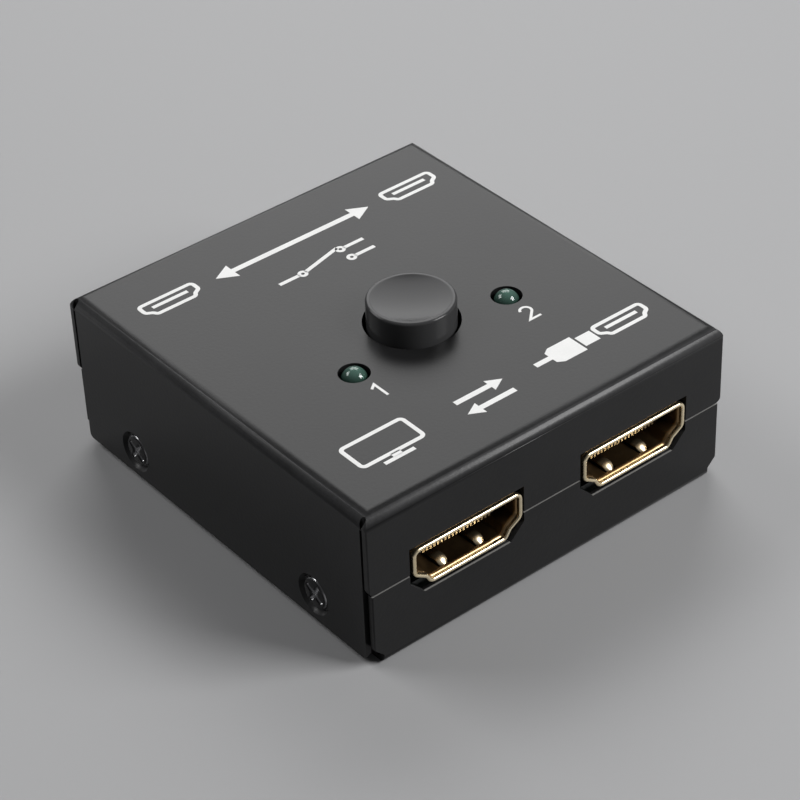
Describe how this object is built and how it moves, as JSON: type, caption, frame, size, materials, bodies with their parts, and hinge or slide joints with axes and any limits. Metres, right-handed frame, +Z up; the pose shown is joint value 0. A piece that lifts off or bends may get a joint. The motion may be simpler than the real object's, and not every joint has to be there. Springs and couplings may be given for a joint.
{
  "type": "hdmi switch box",
  "caption": "Small black sheet-metal video switch box with D-shaped sockets in its front and rear, a round push button and status lamps on top, and cross-head screws in its sides.",
  "frame": {"origin": "middle of the underside of the tray, on the surface the box stands on", "axes": "+Z up through the top face; -Y out of the front face with the two sockets; +X to the right as seen from the front"},
  "size_m": [0.05, 0.0536, 0.023],
  "materials": {
    "black_coat": "black powder coat, satin",
    "black_screw": "black oxide",
    "button_plastic": "satin black",
    "dark_plastic": "matt black",
    "pale_plastic": "moulded off-white",
    "plated_steel": "tin plate",
    "contact_brass": "bright",
    "gold_plate": "gold flash",
    "lamp_lens": "tinted clear resin",
    "board": "black solder mask",
    "chip_plastic": "moulded black",
    "ceramic": "ceramic"
  },
  "bodies": {
    "box": {"top_cover": "black_coat", "bottom_tray": "black_coat", "side_screws": "black_screw", "switch_housing": "dark_plastic", "return_spring": "plated_steel", "switch_terminals": "plated_steel", "lamp_lens_1": "lamp_lens", "lamp_lens_2": "lamp_lens", "lamp_leads_1": "plated_steel", "lamp_leads_2": "plated_steel", "front_left_shell": "gold_plate", "front_left_insert": "dark_plastic", "front_left_contacts": "contact_brass", "front_right_shell": "gold_plate", "front_right_insert": "dark_plastic", "front_right_contacts": "contact_brass", "rear_shell": "gold_plate", "rear_insert": "dark_plastic", "rear_contacts": "contact_brass", "circuit_board": "board", "standoffs": "contact_brass", "board_screws": "plated_steel", "switch_chip": "chip_plastic", "chip_leads": "plated_steel", "surge_chips": "chip_plastic", "capacitors": "ceramic", "resistors": "chip_plastic"},
    "button": {"button_cap": "button_plastic", "switch_plunger": "pale_plastic", "contact_clips": "contact_brass"}
  },
  "joints": [
    {"name": "button_press", "type": "slide", "parent": "box", "child": "button", "axis": [0, 0, -1], "range_m": [0, 0.0018], "stiffness_N_per_m": 800, "deforming": ["return_spring"]}
  ]
}
